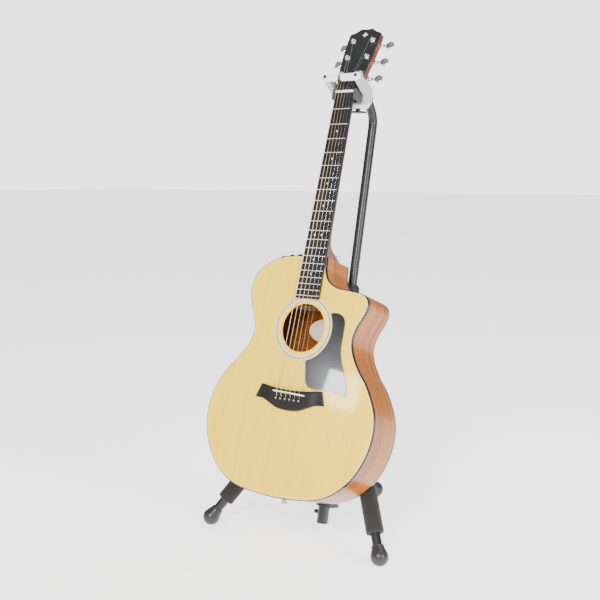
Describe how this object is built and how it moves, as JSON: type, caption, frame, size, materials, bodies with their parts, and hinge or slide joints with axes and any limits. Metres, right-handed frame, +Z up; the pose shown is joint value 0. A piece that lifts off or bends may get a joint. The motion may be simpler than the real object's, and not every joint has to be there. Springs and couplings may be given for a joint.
{
  "type": "guitar on stand",
  "caption": "Cutaway acoustic-electric guitar hanging by its headstock in a folding tripod floor stand with a self-closing yoke.",
  "frame": {"origin": "centre of the bounding box on the floor, at rest", "axes": "+X to the treble side of the guitar, +Y to the back of the stand, +Z up"},
  "size_m": [0.4542, 0.4467, 1.0751],
  "materials": {
    "column_paint": "satin",
    "mast_paint": "satin",
    "leg_paint": "gloss",
    "black_plastic": "matt",
    "bare_steel": "satin",
    "foam_rubber": "matt",
    "foot_rubber": "matt",
    "yoke_plastic": "semi-gloss",
    "cradle_rubber": "matt",
    "spruce": "gloss lacquer",
    "side_wood": "gloss lacquer",
    "lining_wood": "bare",
    "neck_wood": "satin lacquer",
    "dark_wood": "oiled",
    "binding_plastic": "gloss",
    "cream_inlay": "gloss",
    "guard_plastic": "gloss",
    "white_bone": "satin",
    "fret_metal": "polished",
    "string_bronze": "plain",
    "tuner_chrome": "polished",
    "preamp_plastic": "matt"
  },
  "bodies": {
    "stand": {"column_tube": "column_paint", "column_plug": "black_plastic", "base_bracket": "black_plastic", "base_screw": "black_plastic", "leg_hub": "black_plastic", "hinge_pins": "bare_steel", "height_clamp": "black_plastic"},
    "clamp_knob": {"clamp_knob": "black_plastic"},
    "left_leg": {"leg_left": "leg_paint", "foam_left": "foam_rubber", "foot_left": "foot_rubber"},
    "right_leg": {"leg_right": "leg_paint", "foam_right": "foam_rubber", "foot_right": "foot_rubber"},
    "rear_leg": {"leg_rear": "leg_paint", "foot_rear": "foot_rubber"},
    "mast": {"upper_mast": "mast_paint", "yoke_housing": "yoke_plastic", "yoke_fork": "yoke_plastic", "yoke_under_plate": "black_plastic", "gate_pins": "bare_steel", "housing_screw": "bare_steel"},
    "cradle": {"cradle": "cradle_rubber"},
    "gate_left": {"gate_left": "yoke_plastic"},
    "gate_right": {"gate_right": "yoke_plastic"},
    "tuner_1": {"tuner_1": "tuner_chrome"},
    "tuner_2": {"tuner_2": "tuner_chrome"},
    "tuner_3": {"tuner_3": "tuner_chrome"},
    "tuner_4": {"tuner_4": "tuner_chrome"},
    "tuner_5": {"tuner_5": "tuner_chrome"},
    "tuner_6": {"tuner_6": "tuner_chrome"},
    "knob_1": {"knob_1": "preamp_plastic"},
    "knob_2": {"knob_2": "preamp_plastic"},
    "knob_3": {"knob_3": "preamp_plastic"},
    "guitar": {"soundboard": "spruce", "rosette": "cream_inlay", "body_sides": "side_wood", "back_plate": "side_wood", "bindings": "binding_plastic", "linings": "lining_wood", "braces": "lining_wood", "end_blocks": "lining_wood", "bridge": "dark_wood", "saddle": "white_bone", "bridge_pins": "guard_plastic", "pickguard": "guard_plastic", "neck": "neck_wood", "fretboard": "dark_wood", "frets": "fret_metal", "fret_dots": "cream_inlay", "nut": "white_bone", "headstock_veneer": "guard_plastic", "truss_rod": "bare_steel", "truss_rod_cover": "guard_plastic", "strings": "string_bronze", "tuner_housings": "tuner_chrome", "tuner_bushings": "tuner_chrome", "tuner_posts": "tuner_chrome", "strap_buttons": "tuner_chrome", "preamp": "preamp_plastic"}
  },
  "joints": [
    {"name": "clamp_knob_turn", "type": "hinge", "parent": "stand", "child": "clamp_knob", "pos_m": [0, 0.08536, 0.49652], "axis": [0, 0.9717, -0.2363], "range_deg": [0, 360]},
    {"name": "left_leg_fold", "type": "hinge", "parent": "stand", "child": "left_leg", "pos_m": [-0.04064, 0.01256, 0.29708], "axis": [0.5023, -0.8402, 0.2044], "range_deg": [0, 31]},
    {"name": "right_leg_fold", "type": "hinge", "parent": "stand", "child": "right_leg", "pos_m": [0.04064, 0.01256, 0.29708], "axis": [0.5023, 0.8402, -0.2044], "range_deg": [0, 31]},
    {"name": "rear_leg_fold", "type": "hinge", "parent": "stand", "child": "rear_leg", "pos_m": [0, 0.00945, 0.04055], "axis": [1, 0, 0], "range_deg": [0, 72]},
    {"name": "mast_height", "type": "slide", "parent": "stand", "child": "mast", "axis": [0, 0.2363, 0.9717], "range_m": [0, 0.1]},
    {"name": "cradle_drop", "type": "slide", "parent": "mast", "child": "cradle", "axis": [0, 0.3256, 0.9455], "range_m": [0, 0.012], "stiffness_N_per_m": 100, "springref_m": 0.012},
    {"name": "gate_left_turn", "type": "hinge", "parent": "mast", "child": "gate_left", "pos_m": [-0.0374, 0.03696, 0.9637], "axis": [0, -0.9455, 0.3256], "range_deg": [0, 90]},
    {"name": "gate_right_turn", "type": "hinge", "parent": "mast", "child": "gate_right", "pos_m": [0.0374, 0.03696, 0.9637], "axis": [0, 0.9455, -0.3256], "range_deg": [0, 90]},
    {"name": "guitar_lift", "type": "slide", "parent": "cradle", "child": "guitar", "axis": [0, 0.3256, 0.9455], "range_m": [0, 0.03]},
    {"name": "tuner_1_turn", "type": "hinge", "parent": "guitar", "child": "tuner_1", "pos_m": [-0.024, 0.09622, 0.96049], "axis": [1, 0, 0], "continuous": true},
    {"name": "tuner_2_turn", "type": "hinge", "parent": "guitar", "child": "tuner_2", "pos_m": [-0.024, 0.1214, 0.99781], "axis": [1, 0, 0], "continuous": true},
    {"name": "tuner_3_turn", "type": "hinge", "parent": "guitar", "child": "tuner_3", "pos_m": [-0.024, 0.14657, 1.03514], "axis": [1, 0, 0], "continuous": true},
    {"name": "tuner_4_turn", "type": "hinge", "parent": "guitar", "child": "tuner_4", "pos_m": [0.024, 0.14657, 1.03514], "axis": [1, 0, 0], "continuous": true},
    {"name": "tuner_5_turn", "type": "hinge", "parent": "guitar", "child": "tuner_5", "pos_m": [0.024, 0.1214, 0.99781], "axis": [1, 0, 0], "continuous": true},
    {"name": "tuner_6_turn", "type": "hinge", "parent": "guitar", "child": "tuner_6", "pos_m": [0.024, 0.09622, 0.96049], "axis": [1, 0, 0], "continuous": true},
    {"name": "knob_1_turn", "type": "hinge", "parent": "guitar", "child": "knob_1", "pos_m": [-0.048, -0.04731, 0.58596], "axis": [-0.0698, 0.3248, 0.9432], "range_deg": [-135, 135]},
    {"name": "knob_2_turn", "type": "hinge", "parent": "guitar", "child": "knob_2", "pos_m": [-0.068, -0.04802, 0.58387], "axis": [-0.1564, 0.3216, 0.9339], "range_deg": [-135, 135]},
    {"name": "knob_3_turn", "type": "hinge", "parent": "guitar", "child": "knob_3", "pos_m": [-0.088, -0.04939, 0.5799], "axis": [-0.2588, 0.3145, 0.9133], "range_deg": [-135, 135]}
  ],
  "couplings": [
    {"joint": "gate_left_turn", "follows": "cradle_drop", "rad_per_m": 130.25},
    {"joint": "gate_right_turn", "follows": "cradle_drop", "rad_per_m": 130.25}
  ]
}
